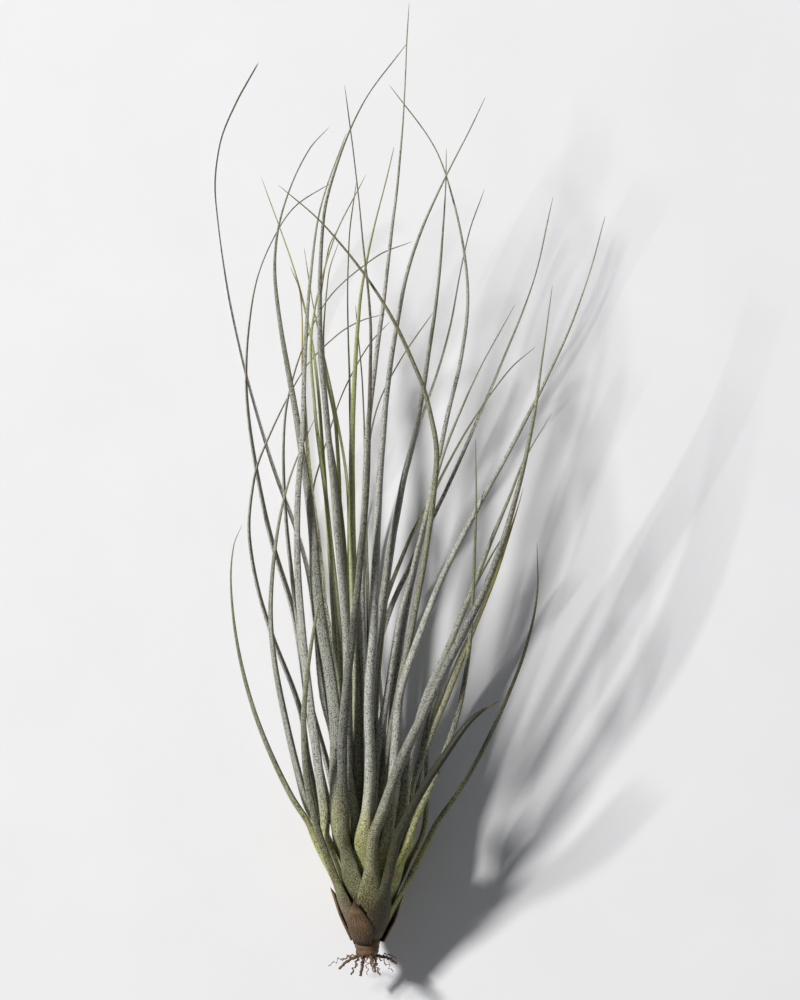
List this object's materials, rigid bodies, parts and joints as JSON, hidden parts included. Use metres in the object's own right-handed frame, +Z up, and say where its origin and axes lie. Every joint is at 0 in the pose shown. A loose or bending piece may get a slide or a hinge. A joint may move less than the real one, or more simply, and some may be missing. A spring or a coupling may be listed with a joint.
{
  "type": "tillandsia juncea air plant",
  "caption": "Rush-like air plant lying on its side as picked: slim channelled silver-green leaves fan out of a tight crown of sheaths on a short woody stem with wiry roots.",
  "frame": {"origin": "on the surface that the plant lies on, below the middle of its box", "axes": "+Y along the stem from its roots to the leaf tips, +Z up from the surface, +X to the plant's right seen from above with the tips up"},
  "size_m": [0.0807, 0.2005, 0.0462],
  "materials": {
    "leaf_silver": "matt grey-green under silvery scales",
    "leaf_olive": "matt olive with fine scales",
    "leaf_green": "smooth yellow-green, few scales",
    "leaf_purple": "matt purplish grey under silvery scales",
    "leaf_browned": "olive that turns yellow and brown at the tip",
    "leaf_dried": "dry, dark brown",
    "stem_wood": "rough bark and wiry roots"
  },
  "bodies": {
    "root": {"stem": "stem_wood", "leaf_01_front_right_dried": "leaf_dried", "leaf_02_back_low": "leaf_silver", "leaf_03_front_left": "leaf_purple", "leaf_04_right_outer": "leaf_olive", "leaf_05_left_long_hook": "leaf_silver", "leaf_06_front_arching": "leaf_purple", "leaf_07_back_right_low": "leaf_silver", "leaf_08_far_left_short": "leaf_olive", "leaf_09_right_upright": "leaf_olive", "leaf_10_back_left_low": "leaf_silver", "leaf_11_front_centre_left": "leaf_purple", "leaf_12_right_thin_olive": "leaf_olive", "leaf_13_left_wide_hook": "leaf_silver", "leaf_14_far_right": "leaf_silver", "leaf_15_right_pale": "leaf_silver", "leaf_16_left_thick": "leaf_silver", "leaf_17_right_brown_tip": "leaf_browned", "leaf_18_low_crossing_right": "leaf_olive", "leaf_19_centre_thick": "leaf_silver", "leaf_20_back_right_short": "leaf_silver", "leaf_21_left_bowed": "leaf_silver", "leaf_22_front_right_inner": "leaf_silver", "leaf_23_back_centre_short": "leaf_silver", "leaf_24_left_broad": "leaf_silver", "leaf_25_right_side_short": "leaf_silver", "leaf_26_left_high_hook": "leaf_silver", "leaf_27_centre_to_right": "leaf_silver", "leaf_28_right_dark": "leaf_olive", "leaf_29_green_left": "leaf_green", "leaf_30_right_s_curve": "leaf_silver", "leaf_31_fine_centre": "leaf_olive", "leaf_32_thick_leaning_right": "leaf_silver", "leaf_33_inner_right_short": "leaf_silver", "leaf_34_left_to_right_arch": "leaf_silver", "leaf_35_front_long_s": "leaf_olive", "leaf_36_right_arc": "leaf_silver", "leaf_37_green_bowed_left": "leaf_green", "leaf_38_inner_right_upright": "leaf_silver", "leaf_39_green_crossing": "leaf_green", "leaf_40_centre_right_thick": "leaf_silver", "leaf_41_short_hook_right": "leaf_olive", "leaf_42_green_centre": "leaf_green", "leaf_43_inner_upright": "leaf_olive", "leaf_44_fine_left_clump_tip": "leaf_browned", "leaf_45_green_inner_long": "leaf_green", "leaf_46_inner_short": "leaf_green", "leaf_47_green_inner_left": "leaf_green", "leaf_48_tallest": "leaf_silver", "dry_sheath_1": "leaf_dried", "dry_sheath_2": "leaf_dried", "dry_sheath_3": "leaf_dried", "dry_sheath_4": "leaf_dried"}
  },
  "joints": []
}
